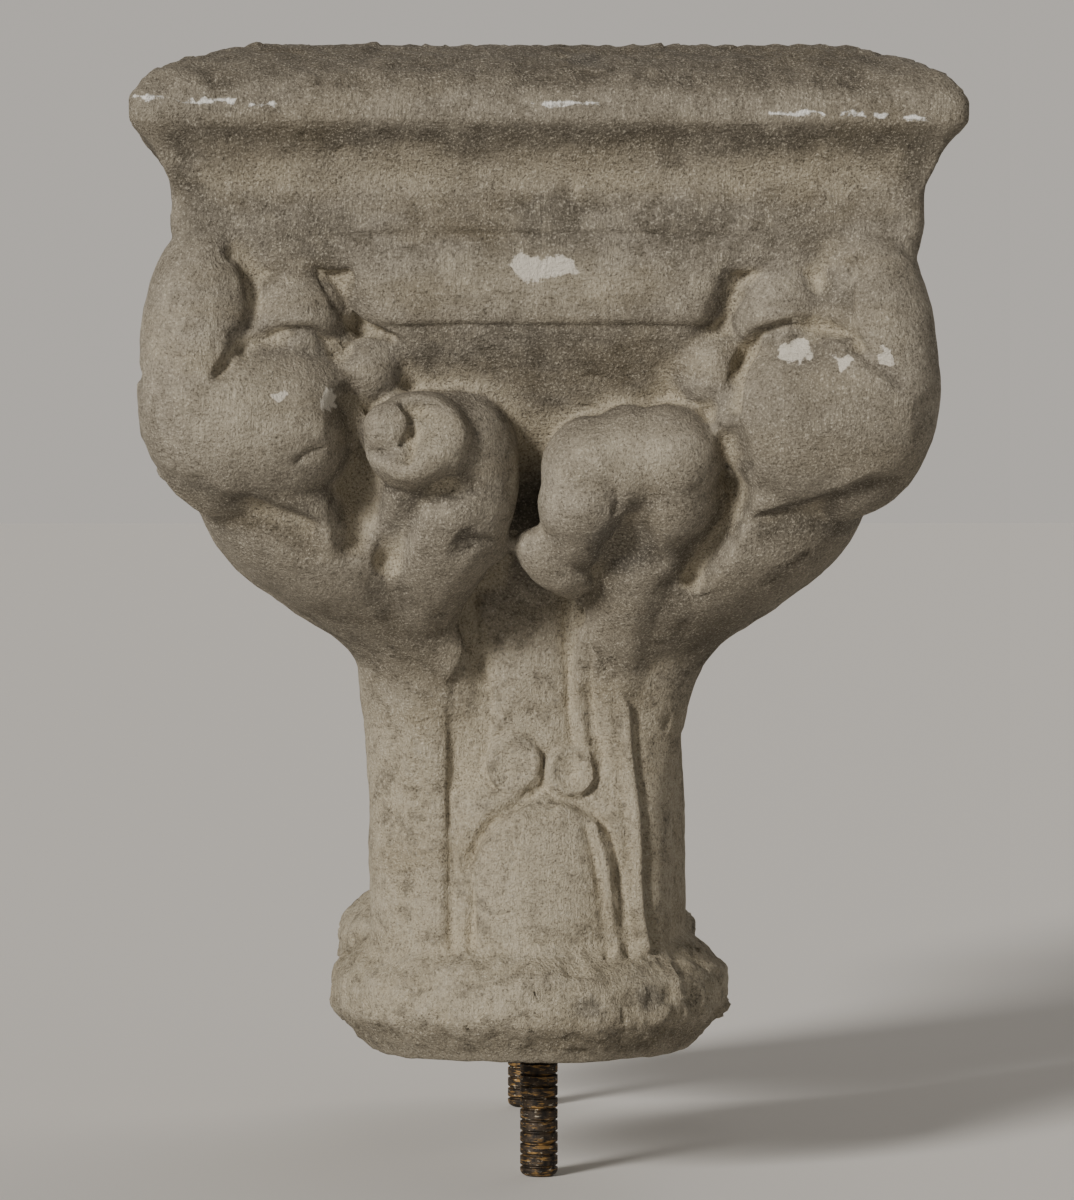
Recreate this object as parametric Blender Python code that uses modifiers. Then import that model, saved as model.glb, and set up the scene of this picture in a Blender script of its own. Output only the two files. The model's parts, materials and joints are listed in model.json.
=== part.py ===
"""Double capital from a pair of cloister columns, carved from one block of stone.

Metres, +Z up. The origin is midway between the two necks, on the bed plane that sits on the column shafts.
The end with the fuller carving faces -Y. The two necks stand at -Y and +Y. Two threaded steel rods are set
in the necks and stand out below the bed plane.
"""
import math

import bmesh
import bpy
from mathutils import Matrix, Vector

# Driving dimensions of the block
STONE_HEIGHT = 0.388
NECK_SPACING = 0.220
ABACUS_WIDTH = 0.310
COLUMN_SHIFT = -0.0036

# The abacus, from its widest line. The worn edge is (inset, drop below the top bed) from the nose inwards
END_TRIM = 0.005
WORN_EDGE = ((0.0, 0.023), (0.002, 0.019), (0.007, 0.013), (0.016, 0.008), (0.040, 0.0))
NOSE_HEIGHT = 0.012
CAVETTO_DEPTH = 0.015
CAVETTO_HEIGHT = 0.022
CAVETTO_STEPS = 5
FASCIA_HEIGHT = 0.013
CHAMFER_DEPTH = 0.004
CHAMFER_HEIGHT = 0.015
CORNER_CUT = 0.004

# The eight-sided rim of each bell
RIM_SETBACK = 0.0006
RIM_HEIGHT = 0.033
RIM_BATTER = 0.0025
RIM_CORNER_TOP = 0.061
RIM_CORNER_FOOT = 0.073

# Necks and astragals
NECK_RADIUS = 0.062
ASTRAGAL_RADIUS = 0.0775
ASTRAGAL_HEIGHT = 0.040
BED_RADIUS = 0.064
# From the undercut lower arris up, as (inset from the widest line, height)
ASTRAGAL_FACE = ((0.0015, 0.014), (0.0, 0.018), (0.0005, 0.0272), (0.005, 0.0344))
ASTRAGAL_FILLET = 0.003
ASTRAGAL_SET_IN = 0.004
ASTRAGAL_ROOT = 0.006
TURN_STEPS = 36
BELL_STEPS = 48

# Threaded rods and the bores that hold them
ROD_DIAMETER = 0.015
ROD_OUT = 0.052
ROD_IN = 0.080
ROD_TIP_CHAMFER = 0.0015
ROD_CLEARANCE = 0.0003
BORE_OVERRUN = 0.010
ROD_STEPS = 20

# The carving is drawn in millimetres on a stone of this width and height, and keeps its proportions
DRAWN_WIDTH = 310.0
DRAWN_HEIGHT = 388.0
DRAWN_NECK_RADIUS = 62.0
DRAWN_NECK_TOP = 150.0
CARVING_VOXEL = 0.0038
CARVING_SMOOTHS = 3
CARVING_KEPT = 0.048
LIMB_SIDES = 20
LIMB_STEPS = 5
SAME_POINT = 0.00002

MM = 0.001
WIDTH_SHARE = ABACUS_WIDTH / DRAWN_WIDTH
HEIGHT_SHARE = STONE_HEIGHT / DRAWN_HEIGHT
NECK_SHARE = NECK_RADIUS / DRAWN_NECK_RADIUS
HALF_WIDTH = ABACUS_WIDTH / 2
HALF_LENGTH = HALF_WIDTH + NECK_SPACING / 2 - END_TRIM
NOSE_TOP = STONE_HEIGHT - WORN_EDGE[0][1]
CAVETTO_TOP = NOSE_TOP - NOSE_HEIGHT
FASCIA_TOP = CAVETTO_TOP - CAVETTO_HEIGHT
FASCIA_FOOT = FASCIA_TOP - FASCIA_HEIGHT
ABACUS_FOOT = FASCIA_FOOT - CHAMFER_HEIGHT


def clear_scene():
    for old in list(bpy.data.objects):
        bpy.data.objects.remove(old, do_unlink=True)


def new_collection(name):
    collection = bpy.data.collections.new(name)
    bpy.context.scene.collection.children.link(collection)
    return collection


def new_object(name, bm, collection):
    """An object from a bmesh whose doubles are merged and whose faces are turned out."""
    bmesh.ops.remove_doubles(bm, verts=bm.verts, dist=SAME_POINT)
    bmesh.ops.recalc_face_normals(bm, faces=bm.faces)
    mesh = bpy.data.meshes.new(name)
    bm.to_mesh(mesh)
    bm.free()
    made = bpy.data.objects.new(name, mesh)
    collection.objects.link(made)
    return made


def as_guide(made):
    made.hide_render = True
    made.display_type = "WIRE"
    return made


def new_material(name, colour, roughness, metallic):
    material = bpy.data.materials.new(name)
    material.use_nodes = True
    shader = material.node_tree.nodes["Principled BSDF"]
    shader.inputs["Base Color"].default_value = (*colour, 1.0)
    shader.inputs["Roughness"].default_value = roughness
    shader.inputs["Metallic"].default_value = metallic
    return material


def drawn(x, y, z):
    """A point of the carving, drawn from a column's axis on the bed plane, in metres."""
    return Vector((x * WIDTH_SHARE, y * WIDTH_SHARE, z * HEIGHT_SHARE))


def ball(bm, place, centre, radii):
    """An ellipsoid lobe of a leaf."""
    shape = Matrix.Diagonal((*drawn(*radii), 1.0))
    where = Matrix.Translation(drawn(*centre))
    bmesh.ops.create_icosphere(bm, subdivisions=4, radius=1.0, matrix=place @ where @ shape)


def between(values, t):
    """A point on a smooth curve through a list of equal-length tuples; t counts the tuples."""
    i = min(int(t), len(values) - 2)
    u = t - i
    p0 = values[max(i - 1, 0)]
    p1 = values[i]
    p2 = values[i + 1]
    p3 = values[min(i + 2, len(values) - 1)]
    return tuple(
        0.5 * (2 * b + (c - a) * u + (2 * a - 5 * b + 4 * c - d) * u * u + (3 * b - a - 3 * c + d) * u ** 3)
        for a, b, c, d in zip(p0, p1, p2, p3)
    )


def limb(bm, place, stations):
    """A stem lofted through ellipses. A station is x, y, z, half width across and half thickness out."""
    steps = LIMB_STEPS * (len(stations) - 1)
    rows = [between(stations, step / LIMB_STEPS) for step in range(steps + 1)]
    rings = []
    for i, (x, y, z, across, out) in enumerate(rows):
        ahead = rows[min(i + 1, steps)]
        behind = rows[max(i - 1, 0)]
        along = (Vector(ahead[:3]) - Vector(behind[:3])).normalized()
        outward = Vector((x, y, 0.0)).normalized()
        side = along.cross(outward).normalized()
        front = side.cross(along).normalized()
        turn = Matrix((side, front, along)).transposed().to_4x4()
        size = Matrix.Diagonal((across, out, 1.0, 1.0))
        shares = Matrix.Diagonal((WIDTH_SHARE, WIDTH_SHARE, HEIGHT_SHARE, 1.0))
        matrix = place @ shares @ Matrix.Translation((x, y, z)) @ turn @ size
        made = bmesh.ops.create_circle(
            bm, cap_ends=i in (0, steps), segments=LIMB_SIDES, radius=1.0, matrix=matrix
        )
        rings.append({edge for vert in made["verts"] for edge in vert.link_edges})
    for low, high in zip(rings, rings[1:]):
        bmesh.ops.bridge_loops(bm, edges=list(low | high))


def turned(bm, place, profile, steps):
    """A solid of revolution. The profile is (radius, height) pairs in metres from bottom to top."""
    rings = []
    for radius, height in profile:
        made = bmesh.ops.create_circle(
            bm,
            cap_ends=(radius, height) in (profile[0], profile[-1]),
            segments=steps,
            radius=radius,
            matrix=place @ Matrix.Translation((0.0, 0.0, height)),
        )
        rings.append({edge for vert in made["verts"] for edge in vert.link_edges})
    for low, high in zip(rings, rings[1:]):
        bmesh.ops.bridge_loops(bm, edges=list(low | high))


def quarter(turns):
    return Matrix.Rotation(math.radians(90.0 * turns), 4, "Z")


def swapped():
    """The mirror in the diagonal of a corner at -X, -Y: x and y change places."""
    return Matrix(((0, 1, 0, 0), (1, 0, 0, 0), (0, 0, 1, 0), (0, 0, 0, 1)))


def bell_ground(bm, place):
    """The plain body of a bell under its leaves, from inside the astragal up into the abacus."""
    profile = [(60, 20), (62, 48), (61.5, 95), (60, 125), (61, 150), (65, 172), (72, 190), (82, 208)]
    profile += [(94, 228), (107, 250), (120, 270), (130, 286), (130, 312)]
    metres = []
    for radius, height in profile:
        share = NECK_SHARE if height < DRAWN_NECK_TOP else WIDTH_SHARE
        metres.append((radius * share, height * HEIGHT_SHARE))
    turned(bm, place, metres, BELL_STEPS)


def corner_stem(bm, place, reach=1.0):
    """The stem that climbs the bell's diagonal at -X, -Y and swells into the corner leaf."""
    climb = [(49, 40, 20, 12), (50, 105, 22, 13), (55, 140, 26, 14), (68, 164, 30, 16)]
    climb += [(91, 183, 32, 19), (120, 201, 34, 22), (142, 224, 32, 25), (152, 250, 30, 27)]
    climb += [(163, 278, 26, 26), (166, 306, 25, 25)]
    diagonal = math.sqrt(0.5)
    stations = []
    for i, (out, z, across, thick) in enumerate(climb):
        grown = out * (1.0 + (reach - 1.0) * i / (len(climb) - 1))
        stations.append((-grown * diagonal, -grown * diagonal, z, across, thick))
    limb(bm, place, stations)


def corner_head(bm, place, fuller=1.0):
    """The curled leaf under a corner of the abacus: a tall middle mass and paired lobes either side."""
    ball(bm, place, (-128, -128, 283), (21 * fuller, 21 * fuller, 37))
    ball(bm, place, (-98, -98, 297), (25, 25, 24))
    for side in (place, place @ swapped()):
        ball(bm, side, (-97, -118, 249), (32 * fuller, 32, 31))
        ball(bm, side, (-90, -114, 286), (21, 21, 21))
        ball(bm, side, (-66, -98, 268), (18, 19, 18))


def front_left_leaf(bm, place):
    """The inner leaf left of the middle: a rolled curl over a broad stem, with a small knob on the right."""
    limb(bm, place, [
        (-45, -34, 40, 20, 12), (-45, -36, 110, 23, 13), (-47, -42, 150, 25, 15),
        (-50, -62, 178, 29, 20), (-46, -90, 202, 27, 22), (-38, -103, 226, 27, 22),
    ])
    ball(bm, place, (-33, -105, 229), (27, 27, 30))
    ball(bm, place, (-46, -121, 239), (20, 19, 18))
    ball(bm, place, (-20, -98, 200), (10, 13, 13))


def front_right_leaf(bm, place):
    """The inner leaf right of the middle: a bean-shaped head that leans down to a small lobe."""
    limb(bm, place, [
        (38, -43, 40, 22, 12), (38, -44, 110, 24, 13), (37, -48, 150, 27, 15),
        (38, -65, 178, 28, 19), (35, -90, 202, 28, 22), (38, -103, 226, 25, 21),
    ])
    ball(bm, place, (50, -112, 239), (19, 21, 20))
    ball(bm, place, (34, -110, 233), (19, 20, 19))
    ball(bm, place, (19, -110, 222), (19, 21, 19))
    ball(bm, place, (3, -99, 199), (11, 14, 11))


def plain_leaf(bm, place, side):
    """A simple inner leaf with one round head, for the sides that were never the show side."""
    limb(bm, place, [
        (side * 40, -39, 40, 21, 12), (side * 40, -40, 110, 23, 13), (side * 42, -45, 150, 26, 15),
        (side * 44, -63, 178, 28, 19), (side * 42, -89, 202, 27, 22), (side * 38, -102, 226, 25, 21),
    ])
    ball(bm, place, (side * 38, -109, 235), (25, 25, 24))
    ball(bm, place, (side * 22, -104, 218), (15, 17, 15))


def middle_head(bm, place):
    """The leaf that the two bells share at the middle of a long side, drawn at -X from the origin."""
    ball(bm, place, (-113, 0, 281), (29, 34, 36))
    ball(bm, place, (-118, -14, 249), (31, 30, 31))
    ball(bm, place, (-118, 14, 249), (31, 30, 31))
    for side in (-1, 1):
        ball(bm, place, (-103, side * 34, 284), (17, 17, 18))


def carving(collection):
    """Both bells with all their leaves, as one soft body."""
    bm = bmesh.new()
    middle = Matrix.Translation((COLUMN_SHIFT, 0.0, 0.0))
    for end in (0, 1):
        bell = middle @ quarter(2 * end) @ Matrix.Translation((0.0, -NECK_SPACING / 2, 0.0))
        bell_ground(bm, bell)
        corner_stem(bm, bell, 1.03)
        corner_stem(bm, bell @ quarter(1), 0.99)
        corner_stem(bm, bell @ quarter(2))
        corner_stem(bm, bell @ quarter(3))
        corner_head(bm, bell)
        corner_head(bm, bell @ quarter(1), 1.05)
        if end == 0:
            front_left_leaf(bm, bell)
            front_right_leaf(bm, bell)
        faces = (1, 3) if end == 0 else (0, 1, 3)
        for face in faces:
            for side in (-1, 1):
                plain_leaf(bm, bell @ quarter(face), side)
        middle_head(bm, middle @ quarter(2 * end))
    body = new_object("capital", bm, collection)
    remesh = body.modifiers.new("one skin", "REMESH")
    remesh.mode = "VOXEL"
    remesh.voxel_size = CARVING_VOXEL
    smooth = body.modifiers.new("soften", "SMOOTH")
    smooth.factor = 0.5
    smooth.iterations = CARVING_SMOOTHS
    fewer = body.modifiers.new("fewer faces", "DECIMATE")
    fewer.ratio = CARVING_KEPT
    fewer.use_collapse_triangulate = True
    return body


def abacus_profile():
    """The moulding from its foot to the top bed, as (inset from the widest line, height)."""
    profile = [(CAVETTO_DEPTH + CHAMFER_DEPTH, ABACUS_FOOT), (CAVETTO_DEPTH, FASCIA_FOOT)]
    for step in range(CAVETTO_STEPS + 1):
        angle = math.pi / 2 * step / CAVETTO_STEPS
        profile.append((CAVETTO_DEPTH * math.cos(angle), FASCIA_TOP + CAVETTO_HEIGHT * math.sin(angle)))
    profile += [(inset, STONE_HEIGHT - drop) for inset, drop in WORN_EDGE]
    return profile


def abacus(collection):
    """The moulded slab, grown upwards: each step pushes the top face up and moves its edge in or out."""
    profile = abacus_profile()
    bm = bmesh.new()
    bmesh.ops.create_cube(bm, size=2.0)
    for vert in bm.verts:
        inset, height = profile[1 if vert.co.z > 0 else 0]
        vert.co.x *= HALF_WIDTH - inset
        vert.co.y *= HALF_LENGTH - inset
        vert.co.z = height
    corners = [edge for edge in bm.edges if abs(edge.verts[0].co.z - edge.verts[1].co.z) > CHAMFER_HEIGHT / 2]
    bmesh.ops.bevel(bm, geom=corners, offset=CORNER_CUT, affect="EDGES", segments=1, profile=0.5, material=-1)
    top = max(bm.faces, key=lambda face: face.calc_center_median().z)
    for (inset, height), (next_inset, next_height) in zip(profile[1:], profile[2:]):
        made = bmesh.ops.extrude_face_region(bm, geom=[top])["geom"]
        bmesh.ops.delete(bm, geom=[top], context="FACES_ONLY")
        moved = next_inset - inset
        for vert in made:
            if isinstance(vert, bmesh.types.BMVert):
                vert.co.x -= moved * math.copysign(1.0, vert.co.x)
                vert.co.y -= moved * math.copysign(1.0, vert.co.y)
                vert.co.z = next_height
        top = next(face for face in made if isinstance(face, bmesh.types.BMFace))
    return as_guide(new_object("abacus", bm, collection))


def corner_web(collection, right, far):
    """The little inverted pyramid that stops the cavetto at a corner."""
    bm = bmesh.new()
    inner = CAVETTO_DEPTH + CORNER_CUT / 2
    outer = CORNER_CUT / 2
    top = CAVETTO_TOP + NOSE_HEIGHT / 2
    points = [(outer, outer, top), (inner, outer, top), (outer, inner, top), (inner, inner, top)]
    points.append((inner, inner, FASCIA_TOP - MM))
    for in_x, in_y, height in points:
        bm.verts.new((right * (HALF_WIDTH - in_x), far * (HALF_LENGTH - in_y), height))
    bmesh.ops.convex_hull(bm, input=bm.verts)
    return as_guide(new_object("corner web", bm, collection))


def bell_rim(collection, end):
    """The eight-sided rim of a bell, battered back below, its end face just behind the abacus fascia."""
    half = HALF_WIDTH - END_TRIM - CAVETTO_DEPTH - RIM_SETBACK
    top = (half, half - RIM_CORNER_TOP, FASCIA_FOOT - RIM_SETBACK)
    foot = (half - RIM_BATTER, half - RIM_BATTER - RIM_CORNER_FOOT, FASCIA_FOOT - RIM_HEIGHT)
    bm = bmesh.new()
    for reach, flat, height in (top, foot):
        for right in (-1, 1):
            for far in (-1, 1):
                for x, y in ((reach, flat), (flat, reach)):
                    bm.verts.new((COLUMN_SHIFT + right * x, end * NECK_SPACING / 2 + far * y, height))
    bmesh.ops.convex_hull(bm, input=bm.verts)
    return as_guide(new_object("bell rim", bm, collection))


def astragal(collection, end):
    """The ring at the foot of a neck, with its flat bed and undercut lower arris."""
    profile = [(BED_RADIUS, 0.0)]
    profile += [(ASTRAGAL_RADIUS - inset, height) for inset, height in ASTRAGAL_FACE]
    profile.append((NECK_RADIUS + ASTRAGAL_FILLET, ASTRAGAL_HEIGHT))
    profile.append((NECK_RADIUS - ASTRAGAL_SET_IN, ASTRAGAL_HEIGHT + ASTRAGAL_ROOT))
    bm = bmesh.new()
    place = Matrix.Translation((COLUMN_SHIFT, end * NECK_SPACING / 2, 0.0))
    turned(bm, place, profile, TURN_STEPS)
    return as_guide(new_object("astragal", bm, collection))


def round_bar(profile, y):
    """A round bar on a neck's axis through (radius, height) pairs, from the foot up."""
    bm = bmesh.new()
    turned(bm, Matrix.Translation((0.0, y, 0.0)), profile, ROD_STEPS)
    return bm


def add_boolean(target, operand, operation):
    step = target.modifiers.new(operand.name, "BOOLEAN")
    step.operation = operation
    step.solver = "EXACT"
    step.object = operand


def main():
    clear_scene()
    parts = new_collection("double capital")
    guides = new_collection("guides")
    stone = new_material("limestone", (0.26, 0.23, 0.175), 0.9, 0.0)
    steel = new_material("weathered steel", (0.09, 0.075, 0.06), 0.55, 0.8)

    capital = carving(parts)
    add_boolean(capital, abacus(guides), "UNION")
    for right in (-1, 1):
        for far in (-1, 1):
            add_boolean(capital, corner_web(guides, right, far), "UNION")
    for end in (-1, 1):
        add_boolean(capital, bell_rim(guides, end), "UNION")
        add_boolean(capital, astragal(guides, end), "UNION")
    radius = ROD_DIAMETER / 2
    for name, end in (("front_rod", -1), ("rear_rod", 1)):
        y = end * NECK_SPACING / 2
        wide = radius + ROD_CLEARANCE
        bore = round_bar([(wide, -BORE_OVERRUN), (wide, ROD_IN + ROD_CLEARANCE)], y)
        add_boolean(capital, as_guide(new_object("bore", bore, guides)), "DIFFERENCE")
        tip = (radius - ROD_TIP_CHAMFER, -ROD_OUT)
        bar = round_bar([tip, (radius, -ROD_OUT + ROD_TIP_CHAMFER), (radius, ROD_IN)], y)
        rod = new_object(name, bar, parts)
        rod.data.materials.append(steel)
    capital.data.materials.append(stone)


main()
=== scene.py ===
# %% [markdown]
# # A carved double capital, with the two steel rods that hold it up
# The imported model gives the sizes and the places. This script adds what the eye reads: swelling leaves,
# shallow relief on the near neck, worn arrises, tool marks, old dust and plaster, all on a warm grey-brown
# limestone.

import json
import math

import bmesh
import bpy
import numpy as np
from mathutils import Matrix, Vector

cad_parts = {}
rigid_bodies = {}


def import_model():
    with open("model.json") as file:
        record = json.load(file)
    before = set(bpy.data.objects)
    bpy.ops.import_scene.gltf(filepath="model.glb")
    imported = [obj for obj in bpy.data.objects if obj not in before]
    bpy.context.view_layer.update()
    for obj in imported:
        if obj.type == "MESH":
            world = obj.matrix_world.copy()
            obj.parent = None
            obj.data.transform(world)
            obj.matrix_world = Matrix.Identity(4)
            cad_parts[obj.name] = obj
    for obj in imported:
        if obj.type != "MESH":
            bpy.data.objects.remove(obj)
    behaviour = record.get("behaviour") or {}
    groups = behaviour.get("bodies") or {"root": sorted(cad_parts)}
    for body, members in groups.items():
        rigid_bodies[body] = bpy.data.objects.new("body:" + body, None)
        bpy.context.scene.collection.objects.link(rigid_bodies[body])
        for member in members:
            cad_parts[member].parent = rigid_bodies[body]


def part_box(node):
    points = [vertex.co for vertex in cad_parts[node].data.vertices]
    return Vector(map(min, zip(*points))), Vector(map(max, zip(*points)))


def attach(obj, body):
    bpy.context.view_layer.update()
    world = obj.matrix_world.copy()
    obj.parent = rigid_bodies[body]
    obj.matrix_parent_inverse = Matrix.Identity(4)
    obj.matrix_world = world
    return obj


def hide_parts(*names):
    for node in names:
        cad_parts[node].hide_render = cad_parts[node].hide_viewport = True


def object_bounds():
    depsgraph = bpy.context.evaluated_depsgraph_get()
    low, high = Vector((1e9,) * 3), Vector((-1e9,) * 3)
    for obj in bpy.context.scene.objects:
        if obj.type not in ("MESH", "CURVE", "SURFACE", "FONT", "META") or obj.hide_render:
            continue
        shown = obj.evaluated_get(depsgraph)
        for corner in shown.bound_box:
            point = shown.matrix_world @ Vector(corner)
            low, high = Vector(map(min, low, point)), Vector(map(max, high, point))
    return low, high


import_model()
cad_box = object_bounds()
STONE_LOW, STONE_HIGH = [Vector(corner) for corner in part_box("capital")]
ROD_LOW, ROD_HIGH = [Vector(corner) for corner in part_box("front_rod")]
MM = 0.001
print("CAD box", [[round(v, 4) for v in corner] for corner in cad_box])

# %% [markdown]
# ## Camera, floor and light
# The photograph was taken from about two metres with a long lens, a little left of the middle and just above
# half height. The floor lies under the rods. One big soft lamp stands on the left in front, because the right
# sides of the leaves fall dark. A weak wide one opens the shadows, and one behind lights the far sides.

# %% Camera
PHOTO_HEIGHT_PX = 1200
PHOTO_MIDDLE_PX = (537, 600)
LENS_PX = 4982.0
EYE_PX = (398.0, 480.0)
EYE_MM = (-56.0, -2090.0, 225.0)
SENSOR_MM = 36.0

scene = bpy.context.scene
camera_data = bpy.data.cameras.new("camera")
camera_data.sensor_fit = "VERTICAL"
camera_data.sensor_height = SENSOR_MM
camera_data.lens = LENS_PX / PHOTO_HEIGHT_PX * SENSOR_MM
camera = bpy.data.objects.new("camera", camera_data)
camera.location = Vector(EYE_MM) * MM
tilt = math.atan((EYE_PX[1] - PHOTO_MIDDLE_PX[1]) / LENS_PX)
turn = math.atan((EYE_PX[0] - PHOTO_MIDDLE_PX[0]) / LENS_PX)
camera.rotation_euler = (math.radians(90.0) + tilt, 0.0, turn)
scene.collection.objects.link(camera)
scene.camera = camera
print("lens", round(camera_data.lens, 1), "mm")


# %% Colours and nodes
def linear(code):
    """An sRGB hex colour as linear red, green, blue and alpha."""
    parts = [int(code[i:i + 2], 16) / 255.0 for i in (1, 3, 5)]
    return (*[p / 12.92 if p <= 0.04045 else ((p + 0.055) / 1.055) ** 2.4 for p in parts], 1.0)


def add(tree, kind, settings=None, **links):
    """Add a node. Settings name its properties or sockets; links name a socket and what feeds it."""
    node = tree.nodes.new(kind)
    for name, value in (settings or {}).items():
        if name in node.inputs:
            node.inputs[name].default_value = value
        elif name.isdigit():
            node.inputs[int(name)].default_value = value
        else:
            setattr(node, name, value)
    for name, source in links.items():
        socket = node.inputs[int(name[1:])] if name[1:].isdigit() else node.inputs[name.replace("_", " ")]
        tree.links.new(source, socket)
    return node


def new_material(name):
    material = bpy.data.materials.new(name)
    material.use_nodes = True
    return material, material.node_tree, material.node_tree.nodes["Principled BSDF"]


# %% Floor
FLOOR_HALF = 30.0
FLOOR_GAP = 0.0003

bm = bmesh.new()
bmesh.ops.create_grid(bm, x_segments=1, y_segments=1, size=FLOOR_HALF)
bmesh.ops.translate(bm, verts=bm.verts, vec=(0.0, 0.0, cad_box[0][2] - FLOOR_GAP))
floor_mesh = bpy.data.meshes.new("floor")
bm.to_mesh(floor_mesh)
bm.free()
floor = bpy.data.objects.new("floor", floor_mesh)
scene.collection.objects.link(floor)
floor_paint, tree, shader = new_material("matt pale floor")
shader.inputs["Base Color"].default_value = linear("#dddbd7")
shader.inputs["Roughness"].default_value = 0.9
floor_mesh.materials.append(floor_paint)
print("floor at", round(cad_box[0][2] - FLOOR_GAP, 4))


# %% Lamps and world
def sun(name, azimuth, height, watts, softness, warmth):
    """A lamp far away: azimuth is degrees left of the camera's side, height is degrees above the floor."""
    lamp_data = bpy.data.lights.new(name, "SUN")
    lamp_data.energy = watts
    lamp_data.angle = math.radians(softness)
    lamp_data.color = linear(warmth)[:3]
    lamp = bpy.data.objects.new(name, lamp_data)
    around = math.radians(azimuth)
    up = math.radians(height)
    towards = Vector((-math.sin(around) * math.cos(up), -math.cos(around) * math.cos(up), math.sin(up)))
    lamp.location = towards * 2.0
    lamp.rotation_euler = towards.to_track_quat("Z", "Y").to_euler()
    scene.collection.objects.link(lamp)


LAMPS = (
    ("key lamp", 38.0, 20.0, 3.95, 14.0, "#fffaf3"),
    ("fill lamp", -50.0, 20.0, 0.15, 60.0, "#eef3ff"),
    ("rear lamp", 200.0, 35.0, 0.8, 50.0, "#fff8f0"),
)
SKY_ON_STONE = 0.22
SKY_IN_VIEW = 0.879

for lamp in LAMPS:
    sun(*lamp)

world = bpy.data.worlds.new("pale studio")
world.use_nodes = True
scene.world = world
backdrop = world.node_tree.nodes["Background"]
backdrop.inputs["Color"].default_value = linear("#c9c4bd")
path = add(world.node_tree, "ShaderNodeLightPath")
brightness = {"To Min": SKY_ON_STONE, "To Max": SKY_IN_VIEW}
strength = add(world.node_tree, "ShaderNodeMapRange", brightness, Value=path.outputs["Is Camera Ray"])
world.node_tree.links.new(strength.outputs["Result"], backdrop.inputs["Strength"])

# %% [markdown]
# ## The stone's forms
# The mason left each leaf as a few full, round masses that press on each other, on stems that climb the bell.
# So each leaf here is a handful of overlapping lobes and lofted stems, drawn in millimetres from the axis of
# its own column. Later a voxel remesh grows them into one skin, as the block is one piece.

# %% Where the carving is drawn
DRAWN_WIDTH = 310.0
DRAWN_HEIGHT = 388.0
COLUMN_SHIFT = -3.6 * MM
WIDTH_SHARE = (STONE_HIGH.x - STONE_LOW.x) / DRAWN_WIDTH
HEIGHT_SHARE = (STONE_HIGH.z - STONE_LOW.z) / DRAWN_HEIGHT
COLUMN_Y = -(ROD_LOW.y + ROD_HIGH.y) / 2
HALF_WIDTH = (STONE_HIGH.x - STONE_LOW.x) / 2
HALF_LENGTH = (STONE_HIGH.y - STONE_LOW.y) / 2
SWAPPED = Matrix(((0, 1, 0, 0), (1, 0, 0, 0), (0, 0, 1, 0), (0, 0, 0, 1)))
MIRRORED = Matrix.Diagonal((-1.0, 1.0, 1.0, 1.0))


def drawn(x, y, z):
    """A drawn place or size in metres, stretched as the stone is."""
    return Vector((x * WIDTH_SHARE, y * WIDTH_SHARE, z * HEIGHT_SHARE))


def quarter(turns):
    return Matrix.Rotation(math.radians(90.0 * turns), 4, "Z")


print("columns stand at y =", round(-COLUMN_Y, 4), "and", round(COLUMN_Y, 4))


# %% Lobes, stems and turned solids
def into(block, part):
    """Add a finished form to the block of forms, with its faces turned out."""
    bmesh.ops.recalc_face_normals(part, faces=part.faces)
    scrap = bpy.data.meshes.new("scrap")
    part.to_mesh(scrap)
    part.free()
    block.from_mesh(scrap)
    bpy.data.meshes.remove(scrap)


def ball(block, place, centre, radii):
    """An egg-shaped mass of a leaf."""
    part = bmesh.new()
    matrix = place @ Matrix.Translation(drawn(*centre)) @ Matrix.Diagonal((*drawn(*radii), 1.0))
    bmesh.ops.create_icosphere(part, subdivisions=4, radius=1.0, matrix=matrix)
    into(block, part)


def between(values, t):
    """A place on a smooth curve through equal-length tuples; t counts the tuples."""
    i = min(int(t), len(values) - 2)
    u = t - i
    p0, p1, p2, p3 = values[max(i - 1, 0)], values[i], values[i + 1], values[min(i + 2, len(values) - 1)]
    return tuple(
        0.5 * (2 * b + (c - a) * u + (2 * a - 5 * b + 4 * c - d) * u * u + (3 * b - a - 3 * c + d) * u ** 3)
        for a, b, c, d in zip(p0, p1, p2, p3)
    )


def loft(block, places, radii, sides):
    """Bridge a row of circles into one closed form. Each circle has its own matrix and radius."""
    part = bmesh.new()
    rings = []
    for i, (matrix, radius) in enumerate(zip(places, radii)):
        made = bmesh.ops.create_circle(
            part, cap_ends=i in (0, len(places) - 1), segments=sides, radius=radius, matrix=matrix
        )
        rings.append({edge for vert in made["verts"] for edge in vert.link_edges})
    for low, high in zip(rings, rings[1:]):
        bmesh.ops.bridge_loops(part, edges=list(low | high))
    into(block, part)


def limb(block, place, stations, steps_each=6, sides=36):
    """A stem lofted through ellipses. A station is x, y, z, half width across and half thickness out."""
    steps = steps_each * (len(stations) - 1)
    rows = [between(stations, step / steps_each) for step in range(steps + 1)]
    shares = Matrix.Diagonal((WIDTH_SHARE, WIDTH_SHARE, HEIGHT_SHARE, 1.0))
    places = []
    for i, (x, y, z, across, out) in enumerate(rows):
        along = (Vector(rows[min(i + 1, steps)][:3]) - Vector(rows[max(i - 1, 0)][:3])).normalized()
        side = along.cross(Vector((x, y, 0.0)).normalized()).normalized()
        front = side.cross(along).normalized()
        turn_to = Matrix((side, front, along)).transposed().to_4x4()
        size = Matrix.Diagonal((across, out, 1.0, 1.0))
        places.append(place @ shares @ Matrix.Translation((x, y, z)) @ turn_to @ size)
    loft(block, places, [1.0] * len(places), sides)


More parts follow.
